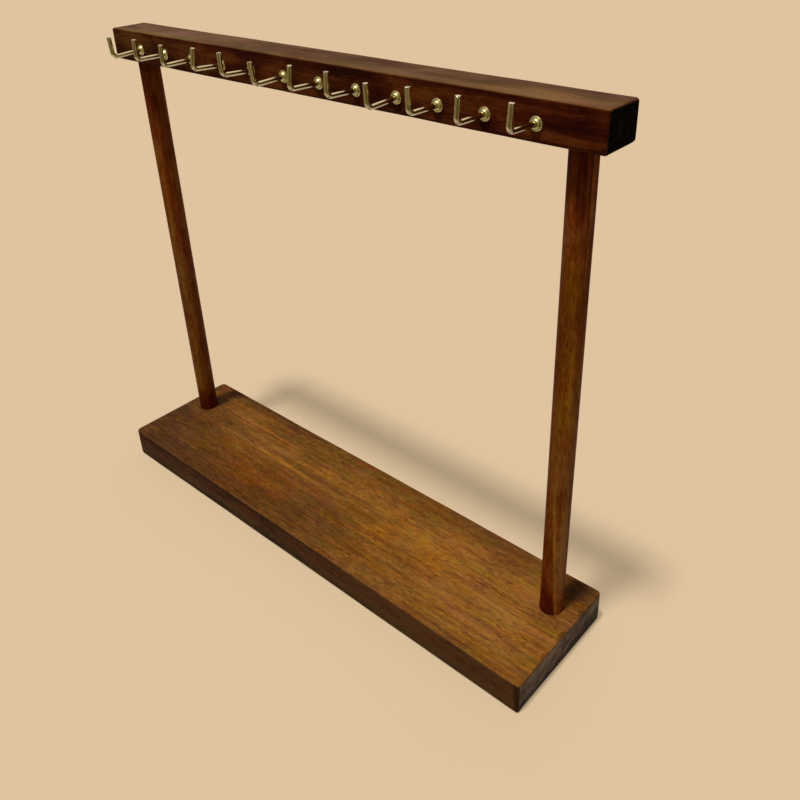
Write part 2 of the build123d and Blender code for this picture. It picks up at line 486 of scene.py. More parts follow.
radius = vector_maths(tree, "LENGTH", across)
turns = maths(tree, "DIVIDE", radius, given["Ring Width"])
uneven = node(tree, "TexNoise", {"W": turns, "Scale": 0.45, "Detail": 1.0}, noise_dimensions="1D")
turns = maths(tree, "ADD", turns, maths(tree, "MULTIPLY", uneven.outputs[0], 1.6))
ring_share = maths(tree, "FRACT", turns)
late_wood = maths(tree, "POWER", ring_share, 2.2)
ring_end = ease_range(tree, ring_share, 0.86, 1.0)
late_wood = maths(tree, "MULTIPLY", late_wood, maths(tree, "SUBTRACT", 1.0, ring_end))
bands = stretched_noise(tree, warped, (0.0032, 0.13, 0.13), detail=4.0)
fibres = stretched_noise(tree, place, (0.08, 1.1, 1.1), detail=4.0, roughness=0.62)
flecks = stretched_noise(tree, place, (0.26, 2.3, 2.3), detail=3.0, roughness=0.6)
mottle = stretched_noise(tree, place, (0.22, 0.45, 0.45), detail=5.0, roughness=0.65)
strands = stretched_noise(tree, place, (0.012, 0.4, 0.4), detail=2.0)
blotches = stretched_noise(
    tree, place, (0.024, 0.06, 0.06), detail=6.0, roughness=0.62, distortion=0.8
)
hues = stretched_noise(
    tree, place, (0.04, 0.19, 0.19), detail=6.0, roughness=0.7, output="Color"
)
hues = node(tree, "SeparateXYZ", {0: hues}).outputs
pore_noise = stretched_noise(tree, place, (0.28, 2.5, 2.5), detail=1.0)
pore_field = stretched_noise(tree, place, (0.02, 0.07, 0.07), detail=2.0)
pore_edge = maths(tree, "MULTIPLY_ADD", pore_field, -0.30, 0.81)
pores = ease_range(tree, maths(tree, "SUBTRACT", pore_noise, pore_edge), -0.03, 0.06)


def weighed(value, middle, amount):
    """How far a value lies from its middle, times its amount."""
    return maths(wood_group, "MULTIPLY", maths(wood_group, "SUBTRACT", value, middle), amount)


tone = maths(tree, "ADD", given["Tone"], 0.5)
band_weight = maths(tree, "MULTIPLY", given["Bands"], 2.0)
ring_weight = maths(tree, "MULTIPLY", given["Rings"], -1.0)
blotch_weight = maths(tree, "MULTIPLY", given["Blotches"], 2.2)
tone = maths(tree, "ADD", tone, weighed(bands, 0.5, band_weight))
fine = maths(tree, "ADD", weighed(fibres, 0.5, 1.3), weighed(strands, 0.5, 0.6))
fine = maths(tree, "ADD", fine, weighed(flecks, 0.5, 1.1))
fine = maths(tree, "ADD", fine, weighed(mottle, 0.5, 0.8))
tone = maths(tree, "MULTIPLY_ADD", fine, given["Fibres"], tone)
tone = maths(tree, "ADD", tone, weighed(late_wood, 0.25, ring_weight))
tone = maths(tree, "ADD", tone, weighed(blotches, 0.5, blotch_weight))
below = node(tree, "MapRange", {"Value": tone, "From Min": -0.25, "From Max": 0.5}).outputs[0]
above = node(tree, "MapRange", {"Value": tone, "From Min": 0.5, "From Max": 1.3}).outputs[0]
colour = mix_colour(tree, below, given["Deep"], given["Main"])
colour = mix_colour(tree, above, colour, given["Glow"])
for amount, channel, less, more in (
    (given["Blush"], hues[0], (0.89, 1.12, 1.0, 1.0), (1.11, 0.88, 1.0, 1.0)),
    (given["Haze"], hues[1], (1.0, 1.0, 0.4, 1.0), (1.0, 1.0, 1.6, 1.0)),
):
    share = maths(tree, "ADD", weighed(channel, 0.5, given["Hues"]), amount)
    share = node(tree, "MapRange", {"Value": share, "From Min": -1.0, "From Max": 1.0}).outputs[0]
    tint = mix_colour(tree, share, less, more)
    colour = mix_colour(tree, 1.0, colour, tint, blend="MULTIPLY")
pore_share = maths(tree, "MULTIPLY", pores, given["Pores"])
pore_colour = mix_colour(tree, 1.0, given["Deep"], grey, blend="MULTIPLY")
colour = mix_colour(tree, pore_share, colour, pore_colour)
height = maths(tree, "MULTIPLY_ADD", fibres, 0.5, maths(tree, "MULTIPLY", pore_share, -1.0))
finish_group(tree, {"Color": colour, "Height": height, "Tone": tone})


def stained(tree, place, heart, ring_width, colours, weights, **others):
    """Outputs of the wood group. Colours are its deep, main and glow, and weights those of its
    rings, bands, fibres, blotches and pores."""
    inputs = {"Place": place, "Heart": heart, "Ring Width": ring_width, **others}
    inputs |= zip(("Deep", "Main", "Glow"), colours)
    inputs |= zip(("Rings", "Bands", "Fibres", "Blotches", "Pores"), weights)
    return use_group(tree, wood_group, inputs)


# Edge wear, as a group: the edge distance of a point on a box is the middle one of its three
# distances to the box's faces. Wear is 1 at an edge and fades over the given width.
wear_inputs = {"Place": (0.0, 0.0, 0.0), "Half Size": (1.0, 1.0, 1.0), "Width": 1.5}
wear_group, given = group_sockets("edge_wear", wear_inputs, {"Wear": 0.0})
tree = wear_group
size_of = vector_maths(tree, "ABSOLUTE", given["Place"])
left_over = vector_maths(tree, "SUBTRACT", given["Half Size"], size_of)
gaps = node(tree, "SeparateXYZ", {0: left_over}).outputs
smaller = maths(tree, "MINIMUM", gaps[0], gaps[1])
larger = maths(tree, "MAXIMUM", gaps[0], gaps[1])
edge_gap = maths(tree, "MAXIMUM", smaller, maths(tree, "MINIMUM", larger, gaps[2]))
rubbed = stretched_noise(tree, given["Place"], (0.09, 0.09, 0.09), detail=4.0, roughness=0.7)
reach = maths(tree, "MULTIPLY", given["Width"], maths(tree, "MULTIPLY_ADD", rubbed, 2.4, -0.5))
wear = maths(tree, "SUBTRACT", 1.0, maths(tree, "DIVIDE", edge_gap, reach), clamp=True)
finish_group(tree, {"Wear": wear})

# Soft patch, as a group: 1 in the middle of an oval and 0 at its uneven edge.
patch_inputs = {"Place": (0.0, 0.0, 0.0), "Centre": (0.0, 0.0, 0.0), "Reach": (1.0, 1.0, 1.0)}
patch_group, given = group_sockets("soft_patch", patch_inputs, {"Mask": 0.0})
tree = patch_group
from_centre = vector_maths(tree, "SUBTRACT", given["Place"], given["Centre"])
share = vector_maths(tree, "DIVIDE", from_centre, given["Reach"])
distance = vector_maths(tree, "LENGTH", share)
ragged = stretched_noise(tree, given["Place"], (0.03, 0.12, 0.12), detail=4.0)
distance = maths(tree, "ADD", distance, maths(tree, "MULTIPLY_ADD", ragged, 0.8, -0.4))
mask = maths(tree, "SUBTRACT", 1.0, ease_range(tree, distance, 0.15, 1.0))
finish_group(tree, {"Mask": mask})


def patches(tree, place, spots):
    """Sum of soft patches. Each spot is a centre (3), a reach (3) and how much tone it adds."""
    total = 0.0
    for *oval, amount in spots:
        inputs = {"Place": place, "Centre": oval[:3], "Reach": oval[3:]}
        mask = use_group(tree, patch_group, inputs)[0]
        total = maths(tree, "MULTIPLY_ADD", mask, amount, total)
    return total


def flat_patches(axis, middle, reach, *rows):
    """Spots of patches() that share their centre and reach along one axis, which the rows omit."""
    spots = []
    for *oval, amount in rows:
        centre, half = oval[:2], oval[2:]
        centre.insert(axis, middle)
        half.insert(axis, reach)
        spots.append((*centre, *half, amount))
    return spots


def in_millimetres(tree, centre):
    """Object coordinates from a centre, in millimetres."""
    coordinates = node(tree, "TexCoord").outputs["Object"]
    moved = vector_maths(tree, "SUBTRACT", coordinates, centre)
    return vector_maths(tree, "MULTIPLY", moved, (1 / mm, 1 / mm, 1 / mm))


def facing(tree, axis, start=0.55, end=0.85):
    """1 where the surface faces along an axis, either way."""
    normal = node(tree, "TexCoord").outputs["Normal"]
    parts = node(tree, "SeparateXYZ", {0: normal}).outputs
    return ease_range(tree, maths(tree, "ABSOLUTE", parts[axis]), start, end)


def satin_wood(tree, colour, roughness, height, depth, specular=0.03):
    """Rubbed satin finish over the wood: a Principled shader with the grain as fine relief."""
    relief = node(tree, "Bump", {"Height": height, "Distance": depth, "Strength": 0.8})
    inputs = {"Base Color": colour, "Roughness": roughness, "Specular IOR Level": specular}
    inputs["Normal"] = relief.outputs[0]
    show_surface(tree, node(tree, "BsdfPrincipled", inputs))


base_material, tree = new_material("walnut_stained_base")
base_centre = (base_low + base_high) / 2
place = in_millimetres(tree, base_centre)
base_heart = (0.0, 34.0, -46.0)
# Tone spots of the base's top. The spot at x 162 darkens the top behind the right post, a painted
# shadow that deepens and widens the post's cast shadow out to the back edge. The spot at x -174
# darkens the back left corner beside the left post.
base_tone_and_shadow_spots = flat_patches(
    2, 10, 40,
    (130, -4, 150, 60, 0.34), (20, 8, 150, 22, 0.22), (-186, -6, 90, 60, -0.55),
    (-110, -38, 140, 24, -0.40), (-120, 41, 130, 10, -0.40), (2, -20, 56, 20, -0.30),
    (-96, 20.5, 74, 1.8, 0.35), (-74, 2.8, 86, 2, 0.42), (40, -2, 9, 1.2, 0.50),
    (104, 6, 80, 1.6, 0.28), (140, -5.7, 40, 1.2, 0.40), (118, -33, 30, 1.4, 0.45),
    (-174, 30, 15, 16, -0.60), (120, 38, 110, 12, -0.20), (162, 32, 16, 18, -0.7),
    (172, 1, 3, 7, -0.8), (172, -17, 3, 5, -0.6), (172, 19, 2.5, 6, -0.7),
    (-150, 8, 34, 14, 0.22), (62, -11, 34, 12, -0.2), (150, -10, 24, 14, 0.16),
    (150, -32, 30, 10, 0.18), (-63, -22, 40, 18, -0.14),
)
base_red_spots = flat_patches(
    2, 10, 40,
    (-63, -20, 56, 28, 0.8), (60, -4, 60, 24, 0.25),
)
base_haze_spots = flat_patches(
    2, 10, 40,
    (-150, -34, 60, 26, 0.5), (-63, -24, 56, 24, -0.7), (60, -4, 60, 24, -0.45),
    (-176, 10, 60, 50, 0.5), (-90, 12, 80, 14, 0.5), (130, -10, 70, 40, 0.35),
)
base_front_spots = [
    (160, -40, 0, 190, 20, 24, 0.9), (-70, -41, -8.5, 90, 20, 2.5, -0.6),
    (-140, -41, -4, 40, 20, 6, -0.15), (-60, -41, -4, 120, 20, 5, 0.35),
    (80.5, -41, 0, 0.6, 20, 14, 0.8), (172, -41, -1, 4, 20, 24, -2.2),
]
base_front_red_spots = flat_patches(
    1, -41, 20,
    (-60, 2.4, 170, 4.5, 0.9), (-80, -6.5, 210, 7, -2), (120, 1, 110, 6, 0.4),
    (120, -7, 110, 5, -1.2),
)
base_end_spots = flat_patches(
    0, 172, 60,
    (24, -11, 60, 13, -1), (-28, -9, 26, 8, -1.15), (-6, -9, 16, 8, -0.5),
    (14, -9, 30, 9, -1.1), (8, 5, 16, 9, -0.4), (30, 6, 9, 8, 0.25), (0, 7, 70, 6, 0.6),
)
top_wood = stained(
    tree, place, base_heart, 5.0,
    ((0.064, 0.024, 0.0062), (0.155, 0.057, 0.0085), (0.330, 0.132, 0.0175)),
    (0.15, 0.3, 1.25, 0.55, 0.8),
    Tone=patches(tree, place, base_tone_and_shadow_spots),
    Blush=patches(tree, place, base_red_spots),
    Haze=patches(tree, place, base_haze_spots),
    Hues=6.0,
)
# The sides and the back take darker wood than the top: partly their own deeper stain, partly painted
# shade.
stain_and_shade_side_wood = stained(
    tree, place, base_heart, 5.0,
    ((0.050, 0.0175, 0.0050), (0.092, 0.0335, 0.0090), (0.158, 0.061, 0.0155)),
    (0.2, 0.6, 2.5, 1.2, 0.8),
    Tone=patches(tree, place, base_front_spots),
    Blush=patches(tree, place, base_front_red_spots),
    Hues=3.5,
)
end_wood = stained(
    tree, place, base_heart, 9.0,
    ((0.070, 0.046, 0.028), (0.262, 0.168, 0.094), (0.450, 0.325, 0.195)),
    (0.5, 0.5, 1.2, 1.6, 0.4),
    Tone=patches(tree, place, base_end_spots),
)
stain_and_shade_side_mask = maths(tree, "SUBTRACT", 1.0, facing(tree, 2))
end_mask = facing(tree, 0, start=0.92, end=0.995)
colour = mix_colour(tree, stain_and_shade_side_mask, top_wood["Color"], stain_and_shade_side_wood["Color"])
colour = mix_colour(tree, end_mask, colour, end_wood["Color"])
base_half = tuple(base_size / 2 / mm)
wear = use_group(tree, wear_group, {"Place": place, "Half Size": base_half, "Width": 1.3})
colour = mix_colour(
    tree, maths(tree, "MULTIPLY", wear[0], 0.35), colour, (0.30, 0.135, 0.045, 1.0)
)
roughness = maths(tree, "MULTIPLY_ADD", top_wood["Tone"], -0.12, 0.60)
satin_wood(tree, colour, roughness, top_wood["Height"], 0.10 * mm)

socket_radius = post_radius + socket_clearance
base_bits = []
for place_x in (-post_x, post_x):
    bit = [
        (0.0, base_high.z + 1 * mm),
        (socket_radius + socket_mouth + 1 * mm, base_high.z + 1 * mm),
        (socket_radius + socket_mouth, base_high.z),
        (socket_radius + 0.3 * socket_mouth, base_high.z - 0.3 * socket_mouth),
        (socket_radius, base_high.z - socket_mouth),
        (socket_radius, post_low.z),
        (screw_hole_radius, post_low.z),
        (screw_hole_radius, screw_head_radius + 0.75 * mm - screw_hole_radius),
        (screw_head_radius + 1.75 * mm, -1 * mm),
        (0.0, -1 * mm),
    ]
    base_bits.append(ring_mesh("bit", turned_rings(bit, (place_x, post_y, 0), columns=64)))
base_rings = board_rings(base_low, base_high, base_corners, base_eases, seed=4)
base_mesh = drilled(ring_mesh("stained_base_board", base_rings), base_bits)
add_piece("stained_base_board", base_mesh, base_material, "base_board")


# Posts: two lengths of dowel, stained a redder brown than the boards, which show lengthwise
# grain. Each end is eased and glued into its socket, and the foot is drilled for a screw.
post_ease = 0.8 * mm
post_bore_radius = 1.65 * mm
post_bore_top = 28.6 * mm
post_rows = 60


def post_rings(place_x, seed):
    """Rings of a dowel: a foot with a bore, eased ends, and a side whose radius wavers a little."""
    quarter = np.linspace(0, pi / 2, 6)
    bottom, top = post_low.z, post_high.z
    profile = [(0, post_bore_top), (post_bore_radius, post_bore_top - 1 * mm)]
    profile += [(post_bore_radius, bottom)]
    eased = [(post_ease * (1 - sin(a)), post_ease * (1 - cos(a))) for a in quarter]
    profile += [(post_radius - inset, bottom + height) for inset, height in eased]
    heights = np.linspace(bottom + 2 * post_ease, top - 2 * post_ease, post_rows)
    profile += [(post_radius, height) for height in heights]
    profile += [(post_radius - inset, top - height) for height, inset in eased]
    profile += [(0, top)]
    profile = np.array(profile)
    rings = turned_rings(profile, (place_x, post_y, 0), columns=64)
    round_it = edge_waver(64, seed, waves=(2, 3, 5))[None, :]
    along_it = edge_waver(len(profile), seed + 1, waves=(1, 2, 3))[:, None]
    sanding = round_it * along_it
    axis = np.array([place_x, post_y, 0]) * (1, 1, 0)
    outward = (rings - axis) * (1, 1, 0)
    on_side = (profile[:, 0] > post_radius * 0.99)[:, None]
    share = 1 - 0.012 * np.abs(sanding) * on_side
    return rings - outward + outward * share[:, :, None]


def post_material(name, place_x, seed_shift, spots, red_spots, haze_spots):
    """Red-brown stained dowel: the wood group with its grain turned to run up the post."""
    material, tree = new_material(name)
    place = in_millimetres(tree, (place_x, post_y, 0.0))
    inputs = {"Vector": place, "Location": (seed_shift, 0, 0), "Rotation": (0, radians(90), 0)}
    upright = node(tree, "Mapping", inputs).outputs[0]
    wood = stained(
        tree, upright, (0.0, 16.0, 12.0), 2.6,
        ((0.095, 0.0130, 0.002), (0.250, 0.062, 0.006), (0.450, 0.175, 0.026)),
        (0.2, 0.4, 1.1, 0.7, 0.6),
        Tone=patches(tree, place, spots),
        Blush=patches(tree, place, red_spots),
        Haze=patches(tree, place, haze_spots),
        Hues=5.0,
    )
    roughness = maths(tree, "MULTIPLY_ADD", wood["Tone"], -0.1, 0.5)
    satin_wood(tree, wood["Color"], roughness, wood["Height"], 0.06 * mm)
    return material


# Tone, red and blue spots of each post. The first spots darken the foot and the lower front, painted
# shade where the post stands in the base, with redder spots at the foot to go with it. A spot near z
# 290 makes each post darker just under the bar. On the right post, the spots at about x 6, y -2.4
# make a paler, bluer strip up its right side, a painted highlight.
post_tone_shade_and_highlight_spots = {
    "left": [
        (0, 0, 20, 30, 30, 26, -1.1), (0, 0, 290, 30, 30, 60, -0.4),
        (5.5, -3.4, 215, 2.2, 2.2, 70, -0.35), (2.4, -6, 130, 4.5, 4.5, 120, 0.25),
        (6.5, 0.6, 110, 4.5, 4.5, 100, -0.1), (5.5, -3.4, 120, 3, 3, 60, 0.3),
    ],
    "right": [
        (-0.8, -6.4, 22, 7, 7, 36, -0.9), (3.2, -5.7, 24, 3, 3, 16, -0.4),
        (-0.8, -6.4, 60, 4.5, 4.5, 40, -0.4), (0, 0, 290, 30, 30, 50, -0.3),
        (3, -5.8, 150, 4.5, 4.5, 110, 0.25), (3.8, -5.3, 60, 2.6, 2.6, 42, 0.3),
        (1.4, -6.3, 95, 1.2, 1.2, 18, 0.7), (2.4, -6, 78, 1.2, 1.2, 18, 0.8),
        (3.3, -5.6, 60, 1.2, 1.2, 18, 0.8), (4.2, -5, 42, 1.2, 1.2, 18, 0.8),
        (4.9, -4.3, 27, 1.2, 1.2, 14, 0.8), (6.2, -2.2, 60, 4, 4, 60, 0.9),
        (6, -2.6, 150, 4.5, 4.5, 130, 0.45), (6, -2.6, 270, 4.5, 4.5, 40, 0.4),
        (5.8, -2.9, 262, 1, 1, 46, -0.7), (6.4, -1.6, 262, 3, 3, 44, 0.4),
        (3.2, -5.7, 262, 3, 3, 44, -0.45), (6, -2.6, 190, 3.5, 3.5, 50, -0.3),
        (-0.8, -6.4, 262, 3, 3, 44, 0.3), (-0.8, -6.4, 140, 3.5, 3.5, 60, 0.2),
    ],
}
post_red_and_shade_spots = {
    "left": [
        (0, 0, 20, 30, 30, 30, 1), (0, 0, 290, 30, 30, 60, 0.8),
        (5.5, -3.4, 200, 6, 6, 80, 1.1), (2.4, -6, 90, 4, 4, 110, -1),
    ],
    "right": [
        (-0.8, -6.4, 24, 9, 9, 40, 1.6), (0, 0, 290, 30, 30, 60, 1.2),
        (5, -4, 200, 5, 5, 60, 0.5), (2, -6, 262, 4.5, 4.5, 40, 0.8),
    ],
}
post_haze_and_highlight_spots = {
    "left": [(2.4, -6, 110, 4.5, 4.5, 60, 0.5), (6.5, 0.6, 140, 4.5, 4.5, 190, 1.4)],
    "right": [
        (6.2, -2.2, 64, 4.5, 4.5, 50, 1.4), (2, -6, 180, 6, 6, 90, -1.2),
        (6, -2.6, 262, 4, 4, 40, 1),
    ],
}
for end, place_x, seed in (("left", -post_x, 11), ("right", post_x, 23)):
    mesh = ring_mesh(f"stained_{end}_post", post_rings(place_x, seed))
    spots = (post_tone_shade_and_highlight_spots[end], post_red_and_shade_spots[end], post_haze_and_highlight_spots[end])
    material = post_material(f"walnut_stained_{end}_post", place_x, 37.0 * seed, *spots)
    add_piece(f"stained_{end}_post", mesh, material, f"{end}_post")


# Top bar: a narrow board of the same stock, stained nearly black on its sawn ends. Its faces are
# darker than its top, partly from deeper stain and partly as painted shade. Sockets in its underside
# take the posts, and each long face has a row of pilot holes for the hooks.
bar_low, bar_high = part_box("top_bar")
bar_corner = 1.6 * mm
bar_eases = [1.5 * mm, 2.4 * mm, 1.0 * mm, 1.8 * mm]
rows = {"front": -1, "back": 1}
hook_numbers = range(1, sum(name.startswith("hook_front_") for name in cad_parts) + 1)
pilot_radius = 1.3 * mm
pilot_depth = 11.7 * mm
hook_leans = [2, -3, -4, -9, 6, 9, -6, -1, 0, 2, -4, -3]  # degrees, to the left as one faces a row
arm_rises = [-3, 0, -1, 3, 3, -2, 2, 2, -3, 1, 1, 3]  # degrees


def hook_seat(row, number):
    """A hook's mark on the bar's face, and the directions of its arm and of its upright."""
    side = rows[row]
    low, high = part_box(f"collar_{row}_{number:02d}")
    mark = np.array([(low.x + high.x) / 2, low.y if side > 0 else high.y, (low.z + high.z) / 2])
    lean, rise = radians(hook_leans[number - 1]), radians(arm_rises[number - 1])
    arm = np.array([0, side * cos(rise), sin(rise)])
    square_up = np.array([0, -side * sin(rise), cos(rise)])
    upright = square_up * cos(lean) + np.cross(arm, square_up) * sin(lean)
    return mark, arm, upright


bar_bits = []
for place_x in (-post_x, post_x):
    bit = [
        (0.0, post_high.z),
        (socket_radius, post_high.z),
        (socket_radius, bar_low.z + socket_mouth),
        (socket_radius + 0.3 * socket_mouth, bar_low.z + 0.3 * socket_mouth),
        (socket_radius + socket_mouth, bar_low.z),
        (socket_radius + socket_mouth + 1 * mm, bar_low.z - 1 * mm),
        (0.0, bar_low.z - 1 * mm),
    ]
    bar_bits.append(ring_mesh("bit", turned_rings(bit, (place_x, post_y, 0), columns=64)))
for row in rows:
    for number in hook_numbers:
        mark, arm, _ = hook_seat(row, number)
        bit = [(0.0, 1 * mm), (pilot_radius, 1 * mm)]
        bit += [(pilot_radius, -pilot_depth), (0.0, -pilot_depth)]
        bar_bits.append(ring_mesh("bit", turned_rings(bit, mark, arm, columns=20)))

bar_material, tree = new_material("walnut_stained_bar")
place = in_millimetres(tree, (bar_low + bar_high) / 2)
bar_heart = (0.0, -22.0, 30.0)
# Tone, red and blue spots of the bar's top. The spots at x -140 and -130 near y -9, and at x -120, y
# 3, make the left end paler, less red and bluer: a painted sheen.
bar_top_tone_and_sheen_spots = flat_patches(
    2, 9, 30,
    (-140, 0, 60, 30, 0.06), (-140, -9, 50, 7, 0.4), (140, -7, 60, 10, 0.45),
    (90, 4, 110, 16, -0.5), (0, 2, 80, 14, -0.15), (-10, 4, 9, 3, -0.7), (140, 9, 50, 6, -0.3),
)
bar_top_red_and_sheen_spots = flat_patches(
    2, 9, 30,
    (-120, 6, 60, 8, 0.5), (-130, -9, 60, 7, -1.1), (-40, -8, 34, 6, -0.9), (-8, 3, 16, 6, 0.9),
    (48, -6, 24, 6, -0.7), (158, -8, 30, 8, 0.5), (60, 7, 70, 9, 0.8), (150, 7, 40, 9, 0.6),
)
bar_top_haze_and_sheen_spots = flat_patches(
    2, 9, 30,
    (-120, 3, 80, 12, 0.7), (130, -3, 80, 16, -0.7), (10, -8, 70, 8, -0.5),
)
top_wood = stained(
    tree, place, bar_heart, 3.6,
    ((0.066, 0.026, 0.0070), (0.118, 0.0525, 0.0142), (0.195, 0.086, 0.0210)),
    (0.2, 0.45, 0.65, 1.3, 0.45),
    Tone=patches(tree, place, bar_top_tone_and_sheen_spots),
    Blush=patches(tree, place, bar_top_red_and_sheen_spots),
    Haze=patches(tree, place, bar_top_haze_and_sheen_spots),
    Hues=4.5,
)
bar_face_spots = flat_patches(
    1, -12, 30,
    (60, 9, 300, 3, -0.4), (-150, 3, 26, 10, 0.95), (-102, 1, 14, 8, 0.55),
    (-78, 0, 14, 10, 0.9), (-58, 4, 20, 7, 1.1), (-22, -3, 14, 9, 0.7), (32, 7, 30, 6, -1.35),
    (36, -2, 14, 5, 0.35), (80, 2, 15, 5, 0.8), (104, 0, 10, 6, 0.2), (90, -8, 40, 3, 0.5),
    (-10, -7, 60, 3.5, 0.5), (150, -5.5, 40, 3.5, 1.1), (150, 1, 40, 5, -0.4),
)
bar_red_spots = flat_patches(
    1, -12, 30,
    (150, 0, 130, 20, 1), (-40, 3, 40, 20, 0.5), (-160, 0, 70, 20, -0.9), (30, 7, 30, 6, -0.8),
)
# The faces take darker, redder wood than the top: partly their own deeper stain, partly painted
# shade.
stain_and_shade_side_wood = stained(
    tree, place, bar_heart, 3.6,
    ((0.035, 0.0050, 0.0010), (0.078, 0.0145, 0.0030), (0.185, 0.052, 0.0085)),
    (0.2, 0.6, 1.1, 1.3, 0.6),
    Tone=patches(tree, place, bar_face_spots),
    Blush=patches(tree, place, bar_red_spots),
    Hues=3.5,
)
stain_and_shade_side_mask = maths(tree, "SUBTRACT", 1.0, facing(tree, 2))
colour = mix_colour(tree, stain_and_shade_side_mask, top_wood["Color"], stain_and_shade_side_wood["Color"])
bar_half = tuple((bar_high - bar_low) / 2 / mm)
wear = use_group(tree, wear_group, {"Place": place, "Half Size": bar_half, "Width": 0.8})
colour = mix_colour(
    tree, maths(tree, "MULTIPLY", wear[0], 0.12), colour, (0.14, 0.065, 0.025, 1.0)
)
roughness = maths(tree, "MULTIPLY_ADD", top_wood["Tone"], -0.1, 0.58)
satin_wood(tree, colour, roughness, top_wood["Height"], 0.08 * mm)
bar_rings = board_rings(
    bar_low, bar_high, [bar_corner] * 4, bar_eases, seed=9, end_steps=8, side_steps=90
)
bar_mesh = drilled(ring_mesh("stained_top_bar", bar_rings), bar_bits)
add_piece("stained_top_bar", bar_mesh, bar_material, "top_bar")

end_material, tree = new_material("sealed_bar_ends")
place = in_millimetres(tree, (bar_low + bar_high) / 2)
end_wood = stained(
    tree, place, bar_heart, 3.6,
    ((0.003, 0.0022, 0.0015), (0.0125, 0.0088, 0.0062), (0.030, 0.024, 0.020)),
    (0.6, 0.4, 0.8, 0.8, 0.4),
)
inputs = {"Vector": place, "Rotation": (radians(-45.0), 0.0, 0.0)}
scuff_place = node(tree, "Mapping", inputs).outputs[0]
scuff_spots = [(172, -3.3, 0.4, 6, 4.2, 0.5, 1), (172, -2, 2.6, 6, 3, 0.4, 0.6)]
scuffs = patches(tree, scuff_place, scuff_spots)
colour = mix_colour(
    tree, maths(tree, "MULTIPLY", scuffs, 0.7), end_wood["Color"], (0.070, 0.080, 0.094, 1.0)
)
roughness = maths(tree, "MULTIPLY_ADD", end_wood["Tone"], -0.1, 0.8)
satin_wood(tree, colour, roughness, end_wood["Height"], 0.08 * mm, specular=0.0)
bar_mesh.materials.append(end_material)
face_normals = np.empty(len(bar_mesh.polygons) * 3, np.float32)
bar_mesh.polygons.foreach_get("normal", face_normals)
on_end = np.abs(face_normals.reshape(-1, 3)[:, 0]) > 0.9
bar_mesh.polygons.foreach_set("material_index", on_end.astype(np.int32))


# Hooks: brass-plated wire, bent square, with a cut tip and a threaded, pointed shank that is
# turned into its pilot hole. Each one stopped a little off square.
wire_radius = 1.25 * mm
hook_reach = {"front": 19.2 * mm, "back": 14.0 * mm}
hook_rise = {"front": 11.4 * mm, "back": 8.2 * mm}
bend_radius = 2.9 * mm
shank_length = 11.4 * mm
shank_point = 2.4 * mm
shank_tip_radius = 0.3 * mm
thread_end = -2.2 * mm  # where the plain wire begins
thread_pitch = 0.9 * mm
thread_depth = 0.26 * mm
tip_edge = 0.14 * mm
wire_columns = 28


def hook_rings(mark, arm, upright, hook_reach, hook_rise):
    """Rings of a bent wire: a circle carried along a straight run, a quarter bend and a rise.

    On the shank the radius shrinks to the point, and drops by the thread's depth in a
    triangular groove that moves on by one pitch for each turn.
    """
    rows_per_pitch = 6
    shank = np.arange(-shank_length, thread_end, thread_pitch / rows_per_pitch)
    run = np.linspace(thread_end, hook_reach - bend_radius, 9)
    bend = np.linspace(0, pi / 2, 15)[1:]
    rise = np.linspace(bend_radius, hook_rise - tip_edge, 7)[1:]
    corner = hook_reach - bend_radius
    bent = corner + bend_radius * np.sin(bend)
    out = np.concatenate([shank, run, bent, np.full(len(rise), hook_reach)])
    level = np.zeros(len(shank) + len(run))
    up = np.concatenate([level, bend_radius * (1 - np.cos(bend)), rise])
    heading = np.concatenate([level, bend, np.full(len(rise), pi / 2)])
    angle = np.linspace(0, 2 * pi, wire_columns, endpoint=False)[None, :]
    taper = np.clip((out + shank_length) / shank_point, 0, 1)
    core = shank_tip_radius + (wire_radius - shank_tip_radius) * taper
    groove = np.abs((angle / (2 * pi) - out[:, None] / thread_pitch) % 1 * 2 - 1)
    cut = thread_depth * np.clip((thread_end - out) / thread_pitch, 0, 1) * taper
    radius = core[:, None] - groove * cut[:, None]

    tip_rows = np.array([0.0, 0.45, 0.8, 1.0]) * pi / 2
    tip_up = hook_rise - tip_edge + tip_edge * np.sin(tip_rows)
    tip_radius = wire_radius - tip_edge * (1 - np.cos(tip_rows))
    tip_up = np.append(tip_up[1:], [hook_rise, hook_rise])
    tip_radius = np.append(tip_radius[1:], [0.5 * wire_radius, 0.0])
    out = np.concatenate([[-shank_length], out, np.full(len(tip_up), hook_reach)])
    up = np.concatenate([[0], up, tip_up])
    heading = np.concatenate([[0], heading, np.full(len(tip_up), pi / 2)])
    tip_radius = np.repeat(tip_radius[:, None], wire_columns, axis=1)
    radius = np.concatenate([np.zeros((1, wire_columns)), radius, tip_radius])
    across = np.cross(arm, upright)
    centre = mark + out[:, None] * arm + up[:, None] * upright
    inward = np.cos(heading)[:, None] * upright - np.sin(heading)[:, None] * arm
    ring = np.cos(angle)[:, :, None] * inward[:, None, :] + np.sin(angle)[:, :, None] * across
    rings = centre[:, None, :] + radius[:, :, None] * ring
    steps = np.hypot(np.diff(out), np.diff(up))
    return rings, np.concatenate([[0], np.cumsum(steps)])


# Metal surface, as a group: fine lines drawn along the piece, dulled spots and film.
metal_group, given = group_sockets(
    "handled_metal",
    {"Place": (0.0, 0.0, 0.0), "Lines": (0.0, 0.0, 0.0)},
    {"Film": 0.0, "Lines": 0.0, "Spots": 0.0},
)
tree = metal_group
film = stretched_noise(tree, given["Place"], (0.22, 0.22, 0.22), detail=4.0, roughness=0.6)
lines = stretched_noise(tree, given["Lines"], (40.0, 0.3, 1.0), detail=2.0, roughness=0.6)
spots = stretched_noise(tree, given["Place"], (1.6, 1.6, 1.6), detail=3.0)
film, spots = ease_range(tree, film, 0.40, 0.68), ease_range(tree, spots, 0.58, 0.72)
finish_group(tree, {"Film": film, "Lines": lines, "Spots": spots})


